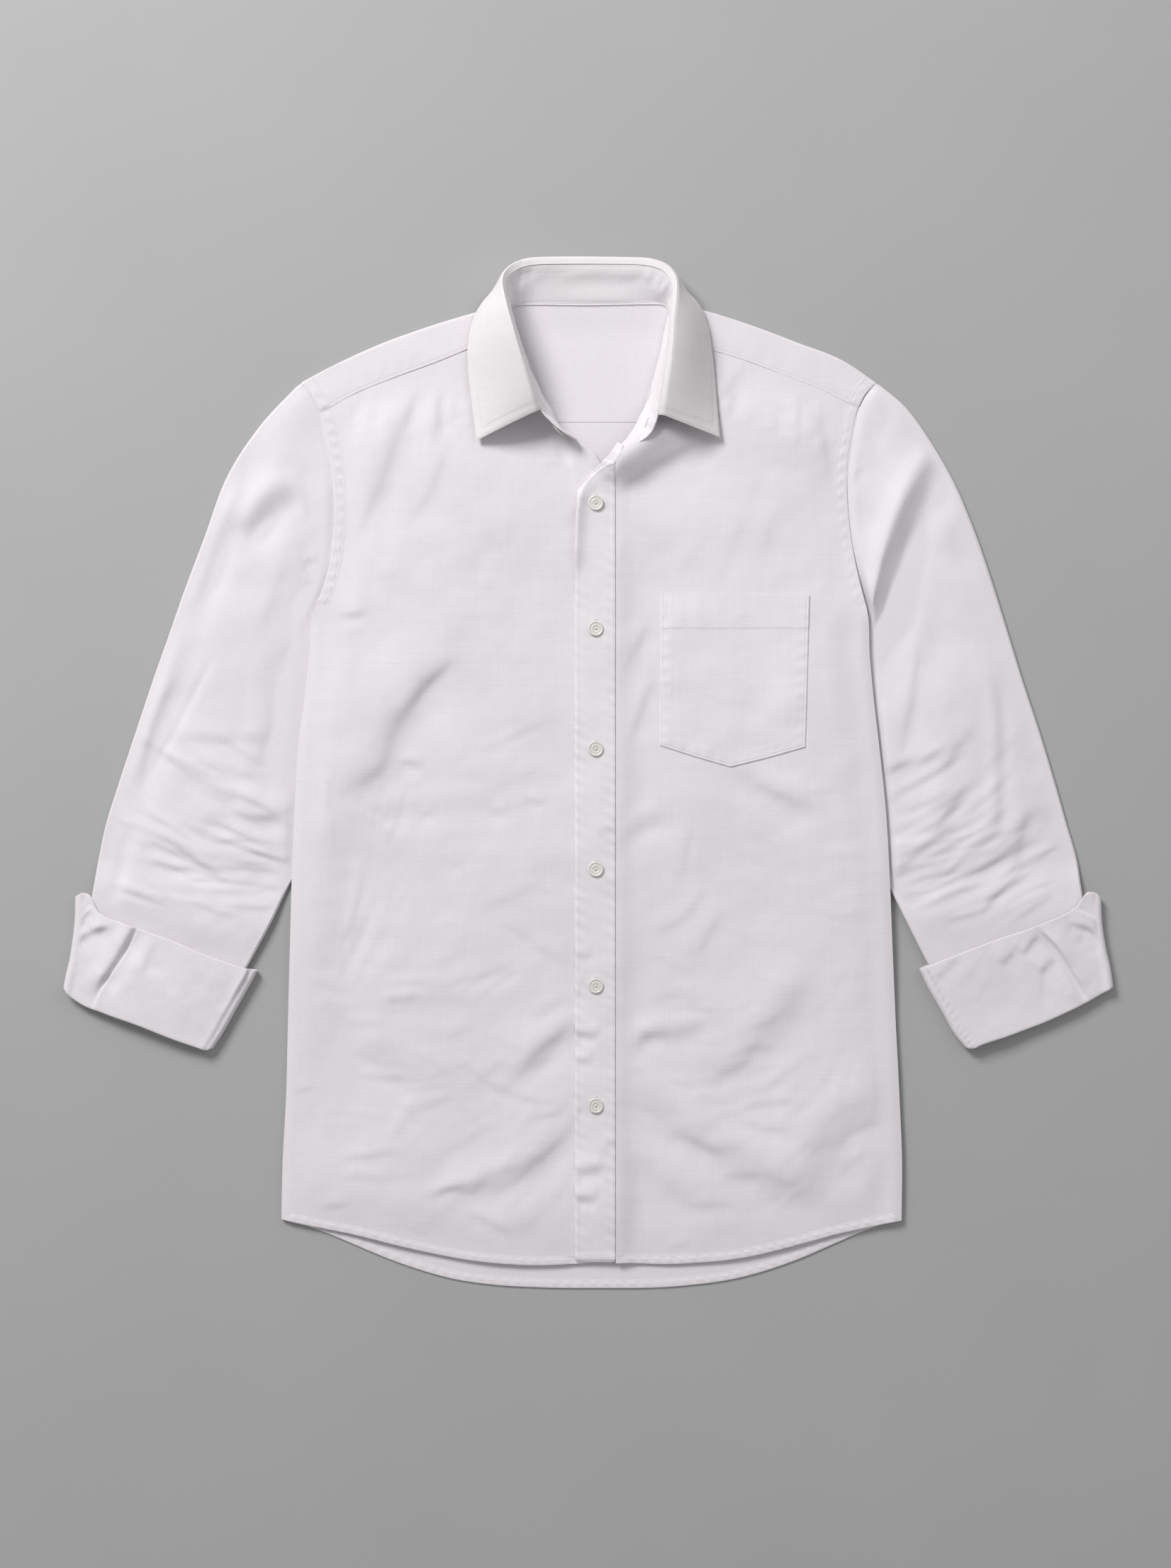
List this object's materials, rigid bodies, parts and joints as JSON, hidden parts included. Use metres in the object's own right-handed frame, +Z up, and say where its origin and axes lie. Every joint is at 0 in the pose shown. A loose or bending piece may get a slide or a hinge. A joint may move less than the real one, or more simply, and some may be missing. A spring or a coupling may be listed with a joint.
{
  "type": "dress shirt laid flat",
  "caption": "Buttoned dress shirt laid flat on its back, front up, collar fastened and sleeves turned back at the cuffs, with soft creases.",
  "frame": {"origin": "centre of the shirt's bounding box, at the surface it lies on", "axes": "+X towards the viewer's right across both sleeves, +Y towards the collar, +Z up out of the surface"},
  "size_m": [0.8128, 0.8014, 0.0416],
  "materials": {
    "white_shirting": "matte fine cotton shirting, cool white",
    "collar_cloth": "matte interlined cotton, cool white",
    "button_shell": "pearly ivory, polished"
  },
  "bodies": {
    "root": {"back": "white_shirting", "yoke": "white_shirting", "front_left": "white_shirting", "front_right": "white_shirting", "placket": "white_shirting", "pocket": "white_shirting", "sleeve_left": "white_shirting", "sleeve_right": "white_shirting", "cuff_left": "white_shirting", "cuff_right": "white_shirting", "collar_stand": "collar_cloth", "collar_leaf": "collar_cloth", "button_1": "button_shell", "button_2": "button_shell", "button_3": "button_shell", "button_4": "button_shell", "button_5": "button_shell", "button_6": "button_shell", "button_collar": "button_shell"}
  },
  "joints": []
}
